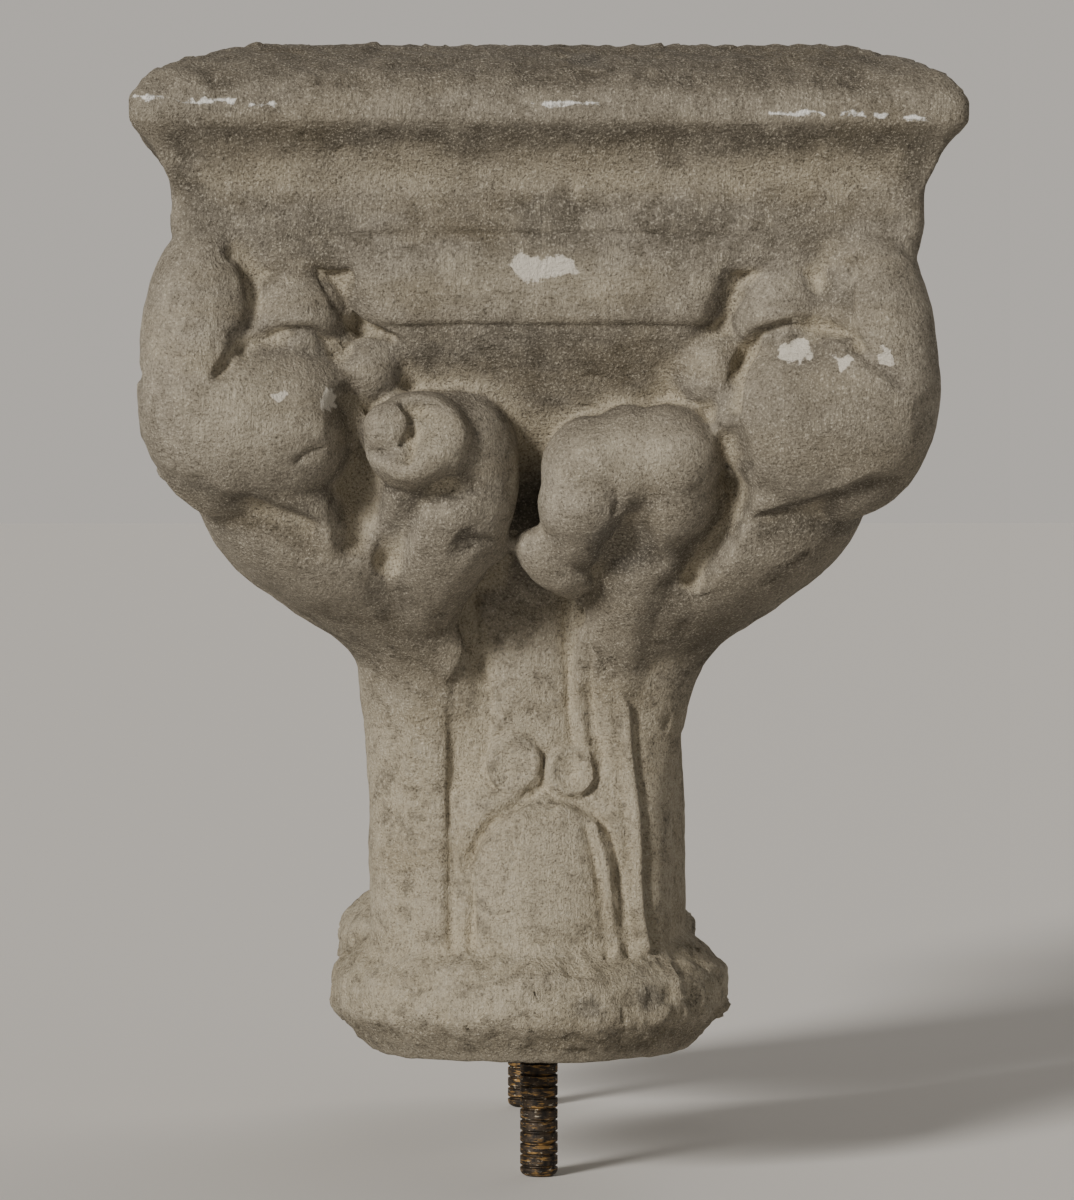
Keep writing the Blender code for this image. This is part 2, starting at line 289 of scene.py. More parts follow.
def turned(block, place, profile, sides):
    """A solid of revolution through (radius, height) pairs, in metres, from the foot up."""
    places = [place @ Matrix.Translation((0.0, 0.0, height)) for _, height in profile]
    loft(block, places, [radius for radius, _ in profile], sides)


# %% The bell under the leaves
BELL = [(60, 20), (62, 48), (61.5, 95), (60, 125), (61, 150), (65, 172), (72, 190), (82, 208)]
BELL += [(94, 228), (107, 250), (120, 270), (130, 286), (130, 312)]


def bell_ground(bm, place):
    """The plain round bell that the leaves lie on."""
    steps = 4 * (len(BELL) - 1)
    rows = [between(BELL, step / 4) for step in range(steps + 1)]
    turned(bm, place, [(radius * WIDTH_SHARE, height * HEIGHT_SHARE) for radius, height in rows], 120)


# %% [markdown]
# ### Corner leaves
# Under each corner of the abacus a broad stem swells into a leaf that has rolled over itself: a tall mass on
# the diagonal, a big round lobe on each face, and two smaller lobes that fill the way to the rim.


# %% Corner leaf
def corner_stem(bm, place, reach=1.0):
    """The stem on the diagonal; a station is its distance out, height, half width and half thickness."""
    climb = [(49, 40, 20, 12), (50, 105, 22, 13), (55, 140, 26, 14), (68, 164, 30, 16)]
    climb += [(91, 183, 32, 19), (120, 201, 34, 22), (142, 224, 32, 25), (152, 250, 30, 27)]
    climb += [(162, 276, 25, 25), (158, 300, 18, 18)]
    stations = []
    for i, (out, z, across, thick) in enumerate(climb):
        grown = out * (1.0 + (reach - 1.0) * i / (len(climb) - 1))
        stations.append((-grown * math.sqrt(0.5), -grown * math.sqrt(0.5), z, across, thick))
    limb(bm, place, stations)


def corner_head(bm, place, fuller=1.0):
    """The rolled leaf at a corner, tapering up under the slab, with the same lobes on both faces."""
    limb(bm, place, [
        (-116, -116, 316, 9, 9), (-120, -120, 309, 16, 16), (-123, -123, 301, 19, 19),
        (-126, -126, 287, 20.5, 20.5), (-126.5, -126.5, 273, 22 * fuller, 22 * fuller),
        (-124, -124, 256, 26 * fuller, 26 * fuller), (-117, -117, 236, 26, 26), (-107, -107, 221, 17, 17),
    ])
    ball(bm, place, (-98, -98, 297), (25, 25, 24))
    for side in (place, place @ SWAPPED):
        ball(bm, side, (-100, -117, 247), (35, 31, 32))
        ball(bm, side, (-114, -121, 250), (30, 29, 31))
        ball(bm, side, (-91, -117, 287), (20, 20, 21))
        ball(bm, side, (-109, -123, 287), (9, 12, 21))
        ball(bm, side, (-66, -107, 267), (19, 22, 18))


# %% [markdown]
# ### Inner leaves
# The show face has two leaves that lean towards each other and are not alike. The left one ends in a rolled
# curl. The right one is a long bean with a small disc at its low end, over a knob. The other sides take the
# same leaves turned round, with fewer cuts, as the photograph shows only this face.


# %% Inner leaves and the heads at the middle of the long sides
def rolled_leaf(bm, place, root=((-50, -31), (-50, -33), (-51, -40))):
    """The left inner leaf; root says where its stem stands at three heights on the neck."""
    limb(bm, place, [
        (*root[0], 40, 17, 12), (*root[1], 110, 18, 13), (*root[2], 150, 20, 15), (-49, -60, 176, 21, 19),
        (-42, -84, 196, 24, 23), (-36, -102, 214, 27, 25), (-34, -108, 232, 27, 26), (-35, -108, 242, 23, 22),
    ])
    ball(bm, place, (-34, -107, 235), (27, 27, 26))
    limb(bm, place, [
        (-42, -100, 239, 19, 20), (-44, -122, 239, 19.5, 20.5), (-45, -134, 239, 18, 19.5),
        (-45.5, -138.5, 239, 14.5, 16.5), (-46, -140.5, 240, 7, 9),
    ])
    limb(bm, place, [
        (-54, -120, 244, 9.5, 10), (-55.5, -137, 245, 9, 9.5), (-56, -141, 245, 7, 7.5),
        (-56, -142.3, 245, 3, 3),
    ])
    ball(bm, place, (-18, -100, 201), (8, 13, 8))
    limb(bm, place, [
        (-66, -101, 264, 13, 16), (-70, -105, 242, 13, 16), (-72, -99, 220, 13, 16), (-72, -86, 202, 13, 16),
        (-71, -70, 184, 14, 14),
    ])


def bean_leaf(bm, place):
    """The right inner leaf, a bean over a knob."""
    limb(bm, place, [
        (38, -43, 40, 18, 12), (37, -44, 110, 18, 13), (35, -49, 150, 19, 15), (35, -64, 174, 19, 18),
        (39, -84, 196, 20, 20), (44, -100, 216, 20, 21), (48, -107, 230, 20, 21),
    ])
    ball(bm, place, (49, -114, 234), (20.5, 21, 20))
    ball(bm, place, (35, -113, 234), (20, 20, 19))
    ball(bm, place, (21, -113, 229), (20, 21, 20))
    ball(bm, place, (29, -112, 226), (18, 21, 16))
    ball(bm, place, (17, -111, 216), (17, 20, 17))
    ball(bm, place, (50, -108, 221), (18, 20, 21))
    ball(bm, place, (14, -101, 204), (14, 18, 13))
    limb(bm, place, [
        (-1, -101, 207, 5, 6), (0, -101, 203, 9.5, 12), (4, -99, 197, 11, 13), (10, -95, 191, 10, 13),
        (17, -88, 184, 6, 9),
    ])
    limb(bm, place, [
        (64, -96, 254, 13, 14), (69, -98, 234, 11, 14), (71, -93, 216, 12, 14), (66, -82, 200, 12, 14),
        (60, -68, 184, 13, 13),
    ])


def middle_head(bm, place):
    """The leaf that the two bells share: a tall mass rolled over itself between paired lobes."""
    limb(bm, place, [
        (-112, 0, 318, 26, 18), (-124, 0, 300, 27, 20), (-127, 0, 278, 29, 21), (-123, 0, 254, 31, 24),
        (-113, 0, 234, 29, 23), (-100, 0, 214, 20, 15),
    ])
    for side in (-1, 1):
        ball(bm, place, (-113, side * 24, 250), (27, 26, 29))
        ball(bm, place, (-106, side * 36, 285), (19, 19, 20))
        ball(bm, place, (-103, side * 18, 292), (22, 22, 20))


# %% [markdown]
# ### Abacus, rims and neck rings
# The slab is a straight moulding: a worn top edge, a short nose, a hollow that eases out to it, a plain band
# and a chamfer. It is grown upwards from a box by extruding its top face along the moulding. Each bell ends
# in an eight-sided rim.

# %% Abacus
WORN_EDGE = ((0.0, 23.0), (2.0, 19.0), (7.0, 13.0), (16.0, 8.0), (40.0, 0.0))
NOSE = 8.0
HOLLOW_DEEP = 15.0
HOLLOW_TALL = 26.0
HOLLOW_CURVE = 1.8
BAND = 13.0
CHAMFER_DEEP = 4.0
CHAMFER_TALL = 15.0
CORNER_CUT = 7.0
WEB_INSETS = (HOLLOW_DEEP + 2.0, 3.0)
TOP = STONE_HIGH.z
NOSE_FOOT = TOP - (WORN_EDGE[0][1] + NOSE) * MM
BAND_TOP = NOSE_FOOT - HOLLOW_TALL * MM
BAND_FOOT = BAND_TOP - BAND * MM


def abacus_profile(steps=10):
    """The moulding as pairs of inset from the widest line and height, in metres, from the foot up."""
    profile = [((HOLLOW_DEEP + CHAMFER_DEEP) * MM, BAND_FOOT - CHAMFER_TALL * MM)]
    profile.append((HOLLOW_DEEP * MM, BAND_FOOT))
    for step in range(steps + 1):
        t = step / steps
        profile.append((HOLLOW_DEEP * MM * (1 - t ** HOLLOW_CURVE), BAND_TOP + HOLLOW_TALL * MM * t))
    return profile + [(inset * MM, TOP - drop * MM) for inset, drop in WORN_EDGE]


def abacus(block):
    profile = abacus_profile()
    bm = bmesh.new()
    bmesh.ops.create_cube(bm, size=2.0)
    for vert in bm.verts:
        inset, height = profile[1 if vert.co.z > 0 else 0]
        vert.co = Vector((vert.co.x * (HALF_WIDTH - inset), vert.co.y * (HALF_LENGTH - inset), height))
    uprights = [edge for edge in bm.edges if abs(edge.verts[0].co.z - edge.verts[1].co.z) > MM]
    bmesh.ops.bevel(
        bm, geom=uprights, offset=CORNER_CUT * MM, affect="EDGES", segments=3, profile=0.5, material=-1
    )
    top = max(bm.faces, key=lambda face: face.calc_center_median().z)
    for (inset, _), (next_inset, next_height) in zip(profile[1:], profile[2:]):
        grown = bmesh.ops.extrude_face_region(bm, geom=[top])["geom"]
        bmesh.ops.delete(bm, geom=[top], context="FACES_ONLY")
        for vert in [g for g in grown if isinstance(g, bmesh.types.BMVert)]:
            vert.co.x -= (next_inset - inset) * math.copysign(1.0, vert.co.x)
            vert.co.y -= (next_inset - inset) * math.copysign(1.0, vert.co.y)
            vert.co.z = next_height
        top = next(g for g in grown if isinstance(g, bmesh.types.BMFace))
    into(block, bm)


def corner_web(block, right, far):
    """The little inverted pyramid that stops the hollow at a corner."""
    inner = WEB_INSETS[0] * MM
    outer = WEB_INSETS[1] * MM
    top = NOSE_FOOT + NOSE / 2 * MM
    points = [(outer, outer, top), (inner, outer, top), (outer, inner, top), (inner, inner, top)]
    points.append((inner, inner, BAND_TOP - MM))
    bm = bmesh.new()
    for x, y, z in points:
        bm.verts.new((right * (HALF_WIDTH - x), far * (HALF_LENGTH - y), z))
    bmesh.ops.convex_hull(bm, input=bm.verts)
    into(block, bm)


# %% Rims and neck rings
RIM_INSET = HOLLOW_DEEP + 5.6
RIM_TALL = 33.0
RIM_OVERLAP = 0.5
RIM_BATTER = 2.5
RIM_CORNERS = (61.0, 73.0)
RING = ((64.0, 0.0), (76.2, 13.5), (78.7, 15.5), (78.7, 30.5), (74.0, 36.0), (67.0, 42.0), (59.0, 48.5))
THROAT = (92.0, 224.0)
THROAT_SIDES = 48


def bell_rim(block, end):
    """The eight-sided rim, battered in a little at its foot."""
    half = HALF_WIDTH - RIM_INSET * MM
    bm = bmesh.new()
    bmesh.ops.create_cube(bm, size=2.0)
    uprights = [edge for edge in bm.edges if abs(edge.verts[0].co.z - edge.verts[1].co.z) > 1]
    bmesh.ops.bevel(bm, geom=uprights, offset=0.5, affect="EDGES", segments=1, profile=0.5, material=-1)
    for vert in bm.verts:
        on_top = vert.co.z > 0
        reach = half if on_top else half - RIM_BATTER * MM
        face = reach - RIM_CORNERS[0 if on_top else 1] * MM
        x = math.copysign(reach if abs(vert.co.x) > 0.9 else face, vert.co.x)
        y = math.copysign(reach if abs(vert.co.y) > 0.9 else face, vert.co.y)
        height = BAND_FOOT if on_top else BAND_FOOT - RIM_TALL * MM
        vert.co = Vector((COLUMN_SHIFT + x, end * COLUMN_Y + y, height))
    into(block, bm)


def bell_throat(block, end):
    """The upper slope of a bell, from its round waist out to the foot of the eight-sided rim."""
    reach = HALF_WIDTH - (RIM_INSET + RIM_BATTER) * MM
    flat = reach - RIM_CORNERS[1] * MM
    foot = BAND_FOOT - (RIM_TALL - RIM_OVERLAP) * MM
    bm = bmesh.new()
    for x, y in ((reach, flat), (flat, reach)):
        for right in (-1, 1):
            for far in (-1, 1):
                bm.verts.new((COLUMN_SHIFT + right * x, end * COLUMN_Y + far * y, foot))
    waist = Matrix.Translation((COLUMN_SHIFT, end * COLUMN_Y, THROAT[1] * HEIGHT_SHARE))
    bmesh.ops.create_circle(bm, segments=THROAT_SIDES, radius=THROAT[0] * WIDTH_SHARE, matrix=waist)
    bmesh.ops.convex_hull(bm, input=bm.verts)
    into(block, bm)


def neck_ring(bm, end):
    place = Matrix.Translation((COLUMN_SHIFT, end * COLUMN_Y, 0.0))
    turned(bm, place, [(radius * MM, height * MM) for radius, height in RING], 120)


# %% Put the block together
VOXEL = 1.5 * MM
SIDE_ROOT = ((-40, -39), (-40, -41), (-44, -47))

bm = bmesh.new()
middle = Matrix.Translation((COLUMN_SHIFT, 0.0, 0.0))
for end in (0, 1):
    bell = middle @ quarter(2 * end) @ Matrix.Translation((0.0, -COLUMN_Y, 0.0))
    bell_ground(bm, bell)
    for corner, reach in ((0, 1.03), (1, 0.99), (2, 1.0), (3, 1.0)):
        corner_stem(bm, bell @ quarter(corner), reach)
    corner_head(bm, bell)
    corner_head(bm, bell @ quarter(1), 1.03)
    if end == 0:
        rolled_leaf(bm, bell)
        bean_leaf(bm, bell)
    for face in ((1, 3) if end == 0 else (0, 1, 3)):
        side = bell @ quarter(face) @ (MIRRORED if face == 3 else Matrix())
        rolled_leaf(bm, side, SIDE_ROOT)
        bean_leaf(bm, side)
    middle_head(bm, middle @ quarter(2 * end))
abacus(bm)
for end in (-1, 1):
    bell_rim(bm, end)
    bell_throat(bm, end)
    neck_ring(bm, end)
    for right in (-1, 1):
        corner_web(bm, right, end)
rough_mesh = bpy.data.meshes.new("carved_capital")
bm.to_mesh(rough_mesh)
bm.free()
stone = bpy.data.objects.new("carved_capital", rough_mesh)
scene.collection.objects.link(stone)


def settle(piece):
    """Apply the live modifiers of a piece to its mesh."""
    graph = bpy.context.evaluated_depsgraph_get()
    graph.update()
    made = bpy.data.meshes.new_from_object(piece.evaluated_get(graph), depsgraph=graph)
    piece.modifiers.clear()
    piece.data = made


remesh = stone.modifiers.new("one skin", "REMESH")
remesh.mode = "VOXEL"
remesh.voxel_size = VOXEL
settle(stone)
print("one skin:", len(stone.data.vertices), "points")

# %% [markdown]
# ## Working over the skin
# From here the stone is worked as a mason would: strokes of a known width and depth, laid along short paths.
# A path is drawn as the near face is seen from the camera, in pixels of the photograph, or in millimetres
# across and up the neck. Every point near a stroke moves along its own normal, or straight back in a slot.

# %% Reading and moving the points
def read_skin(mesh):
    """The points of a mesh, the pairs that its edges join, and how many neighbours each point has."""
    flat_points = np.empty(len(mesh.vertices) * 3, dtype=np.float32)
    mesh.vertices.foreach_get("co", flat_points)
    flat_pairs = np.empty(len(mesh.edges) * 2, dtype=np.int32)
    mesh.edges.foreach_get("vertices", flat_pairs)
    neighbours = np.maximum(np.bincount(flat_pairs, minlength=len(mesh.vertices)), 1)
    return flat_points.reshape(-1, 3).astype(np.float64), flat_pairs.reshape(-1, 2), neighbours


skin = stone.data
count = len(skin.vertices)
points, pairs, degree = read_skin(skin)


def neighbour_mean(values):
    """The mean of each point's neighbours."""
    a, b = pairs[:, 0], pairs[:, 1]
    if values.ndim == 1:
        return (np.bincount(a, values[b], count) + np.bincount(b, values[a], count)) / degree
    return np.stack([neighbour_mean(values[:, i]) for i in range(values.shape[1])], axis=1)


def normals_now():
    """Hand the moved points back to the mesh and read its normals."""
    skin.vertices.foreach_set("co", points.astype(np.float32).ravel())
    skin.update()
    found = np.empty(count * 3, dtype=np.float32)
    skin.vertices.foreach_get("normal", found)
    return found.reshape(-1, 3).astype(np.float64)


def soften(times, weight=None):
    """Pull each point towards its neighbours, by half or by half of its own weight."""
    pull = 0.5 if weight is None else 0.5 * weight[:, None]
    for _ in range(times):
        points[:] += (neighbour_mean(points) - points) * pull


soften(3)
normals = normals_now()


# %% Noise, in millimetres
def lumps(size, seed):
    """Smooth random lumps about size millimetres across, from -1 to 1, one value a point."""
    random = np.random.default_rng(seed)
    low = points.min(axis=0) - MM
    scaled = (points - low) / (size * MM)
    cell = np.floor(scaled).astype(int)
    part = scaled - cell
    part = part * part * (3 - 2 * part)
    lattice = random.uniform(-1, 1, tuple(cell.max(axis=0) + 2))
    total = np.zeros(count)
    for dx in (0, 1):
        for dy in (0, 1):
            for dz in (0, 1):
                share = (part[:, 0] if dx else 1 - part[:, 0]) * (part[:, 1] if dy else 1 - part[:, 1])
                share = share * (part[:, 2] if dz else 1 - part[:, 2])
                total += share * lattice[cell[:, 0] + dx, cell[:, 1] + dy, cell[:, 2] + dz]
    return total


# %% Strokes
def face_turn(end, face):
    """The move that puts one side of a bell where the near face stands."""
    near = middle @ Matrix.Translation((0.0, -COLUMN_Y, 0.0))
    here = middle @ quarter(2 * end) @ Matrix.Translation((0.0, -COLUMN_Y, 0.0)) @ quarter(face)
    return np.array(near @ here.inverted())


NEAR = face_turn(0, 0)
FADE = (0.0, 0.35)


def near_face(limit_y=-100.0, turn=NEAR, facing=0.05):
    """The numbers of the points that face the camera on the near bell, or on the side turned there."""
    y = points @ turn[1, :3] + turn[1, 3]
    return np.flatnonzero((y < limit_y * MM) & (normals @ turn[1, :3] < facing))


def seen(which, turn=NEAR):
    """Where the camera sees points, in pixels of the photograph, and the pixels in a millimetre there."""
    x, y, z = (points[which] @ turn[:3, :3].T + turn[:3, 3]).T / MM
    px_each_mm = LENS_PX / (y - EYE_MM[1])
    return EYE_PX[0] + (x - EYE_MM[0]) * px_each_mm, EYE_PX[1] - (z - EYE_MM[2]) * px_each_mm, px_each_mm


def distance_to(across, up, path):
    """The distance of each point to a path of straight pieces."""
    best = np.full(len(across), 1e9)
    for (x0, y0), (x1, y1) in zip(path, path[1:]):
        dx, dy = x1 - x0, y1 - y0
        t = np.clip(((across - x0) * dx + (up - y0) * dy) / (dx * dx + dy * dy + 1e-9), 0, 1)
        best = np.minimum(best, np.hypot(across - x0 - t * dx, up - y0 - t * dy))
    return best


def smooth_path(path, steps=4):
    return [between(path, i / steps) for i in range(steps * (len(path) - 1) + 1)]


def bump(distance, half_width):
    """1 on the path, falling smoothly to 0 at half_width."""
    return np.clip(1 - (distance / half_width) ** 2, 0, 1) ** 2


def ramp(value, low, high):
    """0 below low, 1 above high, and smooth between."""
    t = np.clip((value - low) / (high - low), 0, 1)
    return t * t * (3 - 2 * t)


def press(which, amount, back=False, turn=NEAR):
    """Push points in along their normals, or straight away from the viewer, by millimetres."""
    amount = amount * ramp(-(normals[which] @ turn[1, :3]), *FADE)
    if back:
        points[which] += (amount * MM)[:, None] * turn[1, :3]
    else:
        points[which] -= normals[which] * (amount * MM)[:, None]


def face_stroke(path, half_width, depth, back=False, turn=NEAR):
    """A stroke drawn in the photograph's pixels; its half width and depth are millimetres."""
    which = near_face(turn=turn)
    across, down, px_each_mm = seen(which, turn)
    far = distance_to(across, down, smooth_path(path)) / px_each_mm
    press(which, bump(far, half_width) * depth, back, turn)


def face_step(path, depth, reach):
    """Set the skin under a line back, by depth at the line and less down to reach millimetres below it."""
    which = near_face()
    across, down, px_each_mm = seen(which)
    path_x, path_y = np.array(path, dtype=float).T
    below = (down - np.interp(across, path_x, path_y)) / px_each_mm
    inside = ramp(across, path_x[0] - 12, path_x[0] + 14) * ramp(-across, -path_x[-1] - 4, -path_x[-1] + 14)
    press(which, depth * inside * ramp(below, -0.8, 2.2) * ramp(-below, -reach, -3.0), back=True)


def face_dent(centre, radii, depth):
    """A round dent, or a swelling if depth is negative, at a pixel, with radii in millimetres."""
    which = near_face()
    across, down, px_each_mm = seen(which)
    far = np.hypot((across - centre[0]) / px_each_mm / radii[0], (down - centre[1]) / px_each_mm / radii[1])
    press(which, bump(far, 1.0) * depth)


print("brushes ready")

# %% [markdown]
# ### Leaf carving on the show face
# Hooked grooves part the rolled masses of the corner leaves. Deep slots stand between the corner and inner
# leaves. The left curl has a step, a cracked disc and a pit; the right one a flat disc with a raised rim. The
# other sides get only the hooks, the tops of the lobes and the slots.

# %% Corner leaf grooves and slots
LEFT_HOOK = [(236, 252), (249, 266), (253, 285), (256, 305), (254, 322), (245, 338), (237, 352), (226, 370)]
RIGHT_HOOK = [(862, 262), (847, 279), (846, 295), (849, 326), (857, 341), (868, 356), (882, 366), (900, 378)]
LEFT_SLOT = [(345, 405), (348, 440), (349, 475), (349, 510), (353, 538)]
RIGHT_SLOT = [(733, 440), (739, 475), (735, 512), (716, 543), (696, 578)]
LOBE_CRACK = [(297, 462), (306, 454), (322, 449)]
LEFT_LOBE_TOP = [(246, 350), (262, 339), (288, 333), (313, 333), (327, 341)]
RIGHT_LOBE_TOP = [(856, 346), (845, 335), (827, 327), (800, 325), (778, 330), (755, 340), (741, 361)]
RIGHT_LOBE_TOP += [(734, 383), (731, 410)]
LEFT_FOOT = [(160, 462), (204, 488), (248, 495), (296, 510), (324, 521)]
RIGHT_FOOT = [(750, 512), (790, 505), (827, 493), (877, 474), (912, 472)]
HOOK_ENDS = (((224, 258), (4.0, 4.5)), ((226, 366), (3.5, 3.5)))

face_stroke(LEFT_HOOK, 5.0, 3.2)
for centre, radii in HOOK_ENDS:
    face_dent(centre, radii, 1.5)
face_stroke(RIGHT_HOOK, 4.5, 3.4)
face_stroke(LEFT_LOBE_TOP, 4.0, 3.8)
face_stroke(RIGHT_LOBE_TOP, 4.5, 5.4)
face_step(LEFT_FOOT, 6.0, 26.0)
face_step(RIGHT_FOOT, 5.5, 26.0)
face_stroke(LEFT_SLOT, 9.0, 9.0, back=True)
face_stroke(RIGHT_SLOT, 8.0, 12.0, back=True)
face_stroke(LOBE_CRACK, 1.8, 1.6)
LEFT_CUTS = ((LEFT_HOOK, 5.0, 4.0, False), (LEFT_LOBE_TOP, 4.5, 3.0, False), (LEFT_SLOT, 9.0, 8.0, True))
RIGHT_CUTS = ((RIGHT_HOOK, 4.5, 4.0, False), (RIGHT_LOBE_TOP, 4.5, 3.0, False), (RIGHT_SLOT, 8.0, 8.0, True))
OTHER_SIDES = ((1, 0, LEFT_CUTS + RIGHT_CUTS), (0, 1, LEFT_CUTS), (0, 3, RIGHT_CUTS))
OTHER_SIDES += ((1, 1, LEFT_CUTS), (1, 3, RIGHT_CUTS))
for end, face, cuts in OTHER_SIDES:
    for path, half_width, depth, back in cuts:
        face_stroke(path, half_width, depth, back, face_turn(end, face))
normals = normals_now()
print("slots cut")

# %% Curls of the inner leaves
LEFT_CREVICE = [(403, 404), (412, 416), (412, 430), (402, 444)]
LEFT_NOTCH = [(416, 430), (412, 446), (408, 460)]
LEFT_CRACK = [(368, 452), (384, 454), (400, 456), (409, 462)]
LEFT_VALLEY = [(450, 492), (425, 505), (402, 525), (390, 560)]
LEFT_KNOB_NOTCH = [(464, 542), (476, 540), (489, 541)]
RIGHT_DISC_ARC = [(570, 477), (580, 472), (591, 472), (603, 478), (613, 488), (618, 500), (614, 512)]
LEFT_PIT = ((509, 488), (2.6, 3.0))
RIGHT_DISC = ((588, 500), (9.0, 6.5))
RIGHT_DISH = ((632, 550), (14.0, 14.0))
RIM_FOOT = [(316, 268), (350, 326), (380, 328), (550, 327), (700, 328), (720, 326), (768, 262)]
RIM_LINE = [(330, 238), (400, 235), (560, 234), (700, 236), (750, 238)]

face_stroke(LEFT_CREVICE, 2.2, 3.2)
face_stroke(LEFT_NOTCH, 2.6, 4.0)
face_stroke(LEFT_CRACK, 2.0, 2.4)
face_stroke(LEFT_VALLEY, 8.0, 4.5)
face_dent(*LEFT_PIT, 2.2)
face_stroke(LEFT_KNOB_NOTCH, 2.8, 2.4)
face_stroke(RIGHT_DISC_ARC, 2.0, 2.0)
face_dent(*RIGHT_DISC, -1.2)
face_dent(*RIGHT_DISH, 4.0)
face_stroke(RIM_LINE, 1.6, 1.3)
face_stroke(RIM_FOOT, 1.8, 1.2)
normals = normals_now()
print("curls cut")

# %% [markdown]
# ### Relief on the near neck
# Low relief climbs the middle of the near neck: a round-topped tongue, two small discs over it, beads that
# run up to the right, and a sunk panel between the stems. Heights are 1 to 3 mm.

# %% Neck relief
NECK_TOP = 205.0
NECK_REACH = 72.0
neck = near_face(-135.0)
from_axis = np.hypot(points[neck, 0] - COLUMN_SHIFT, points[neck, 1] + COLUMN_Y)
reach = (NECK_REACH + 14 * ramp(points[neck, 2], 0.150, 0.200)) * MM
neck = neck[(points[neck, 2] < NECK_TOP * MM) & (from_axis < reach)]


def neck_stroke(path, half_width, depth):
    """A stroke on the near neck, drawn in millimetres across from the stone's middle and up from the bed."""
    far = distance_to(points[neck, 0] / MM, points[neck, 2] / MM, smooth_path(path))
    press(neck, bump(far, half_width) * depth)


NECK_FLOOR = 42.0
TONGUE_HALF = 26.5
TONGUE_MIDDLE = 0.8
TONGUE_TOP = 101.0
TONGUE_TALL = 2.6
TONGUE_GROOVE = 2.0
PANEL = (-35.0, 14.0, 104.0, 196.0)
PANEL_DEEP = 3.2
RIGHT_TROUGH = [(17.5, 190), (19, 165), (21, 140), (24, 122), (27, 100)]
OUTER_BEAD = [(14.8, 184), (23, 163), (30.6, 143), (33, 120), (36, 89), (37, 62), (40, 43)]
INNER_BEAD = [(20, 92), (23, 82), (26, 67), (29.5, 42)]
PANEL_BEAD = [(13, 182), (13.3, 163), (14.8, 131), (19, 118)]
LEFT_LINE = [(-35.6, 45), (-35.6, 110), (-35.2, 165)]
LEFT_SECOND_LINE = [(-27, 186), (-26, 167), (-23, 150), (-20, 137), (-23, 120)]
DISC_TAIL = [(-0.2, 106), (-6, 101), (-15, 95), (-24.4, 87), (-30, 74)]
SOFT_RIDGE = [(-54, 146), (-52, 110), (-52, 78)]
LEFT_FROND = [(-31, 43), (-29, 60), (-27, 76)]
DISCS = (((-11.5, 115.5), 11.4), ((10.6, 112.5), 9.8))
DISC_TALL = 3.0
DISC_DISH = 1.6
DISC_GROOVE = 1.4

across, _, up = points[neck].T / MM
arch = TONGUE_TOP - TONGUE_HALF
tongue_far = np.where(
    up > arch, np.hypot(across - TONGUE_MIDDLE, up - arch), np.abs(across - TONGUE_MIDDLE)
) - TONGUE_HALF
above = ramp(up, NECK_FLOOR, NECK_FLOOR + 6)
press(neck, -TONGUE_TALL * ramp(-tongue_far, -1.0, 2.2) * above)
press(neck, TONGUE_GROOVE * bump(tongue_far - 2.0, 3.0) * above)
left, right, low, high = PANEL
panel = ramp(across, left - 1, left + 2.5) * ramp(-across, -right - 1, -right + 2.5)
panel *= ramp(up, low - 4, low + 4)
press(neck, PANEL_DEEP * panel)
neck_stroke(RIGHT_TROUGH, 5.0, 2.0)
for bead, half_width, tall in ((OUTER_BEAD, 2.6, 2.8), (INNER_BEAD, 2.5, 2.4), (PANEL_BEAD, 3.0, 2.8)):
    neck_stroke([(x - 4.0, z) for x, z in bead], 2.6, 1.7)
    neck_stroke([(x + 3.8, z) for x, z in bead], 2.8, 2.0)
    neck_stroke(bead, half_width, -tall)
neck_stroke(LEFT_LINE, 2.4, 2.4)
neck_stroke(LEFT_SECOND_LINE, 2.2, 1.6)
for (cx, cz), radius in DISCS:
    far = np.hypot(across - cx, up - cz)
    press(neck, -DISC_TALL * ramp(-far, -radius - 0.5, -radius + 1.5))
    press(neck, DISC_DISH * ramp(-far, -radius + 2.2, -radius + 4.0))
    press(neck, DISC_GROOVE * bump(far - radius - 1.4, 2.0))
neck_stroke(DISC_TAIL, 2.6, 2.8)
neck_stroke(SOFT_RIDGE, 4.0, -1.4)
neck_stroke(LEFT_FROND, 2.6, -1.6)
normals = normals_now()
print("neck relief cut")

# %% [markdown]
# ### Age and tooling
# Sharp edges have worn round and lost chips, most of all round the top of the slab and the neck rings. The
# rims and the slab's band kept theirs. Every surface has a pecked texture from the point chisel, coarser on
# the rings, and small pits. The top bed has rows of furrows.

# %% Worn edges, chips and tool marks
FURROW_MM = 9.0
RING_FACETS_MM = (9.0, 5.0)
SLAB_FACETS_MM = 8.0
CHIP_MM = 14.0
EDGE_CURVE = 0.12 * MM
KEPT_LOW = (0.278, 0.284)
KEPT_HIGH = (-0.345, -0.335)

curve = np.einsum("ij,ij->i", points - neighbour_mean(neighbour_mean(points)), normals)
for _ in range(4):
    curve = neighbour_mean(curve)
edge = np.clip(curve / EDGE_CURVE, 0, 1)
kept = ramp(points[:, 2], *KEPT_LOW) * ramp(-points[:, 2], *KEPT_HIGH)
edge *= 1 - 0.75 * kept
chipped = edge * ramp(lumps(CHIP_MM, 11), 0.3, 0.7)
for _ in range(3):
    soften(1, np.clip(0.1 * edge + 0.6 * chipped, 0, 1))
points -= normals * (chipped * (1.8 + 1.2 * lumps(5, 12)) * MM)[:, None]
normals = normals_now()


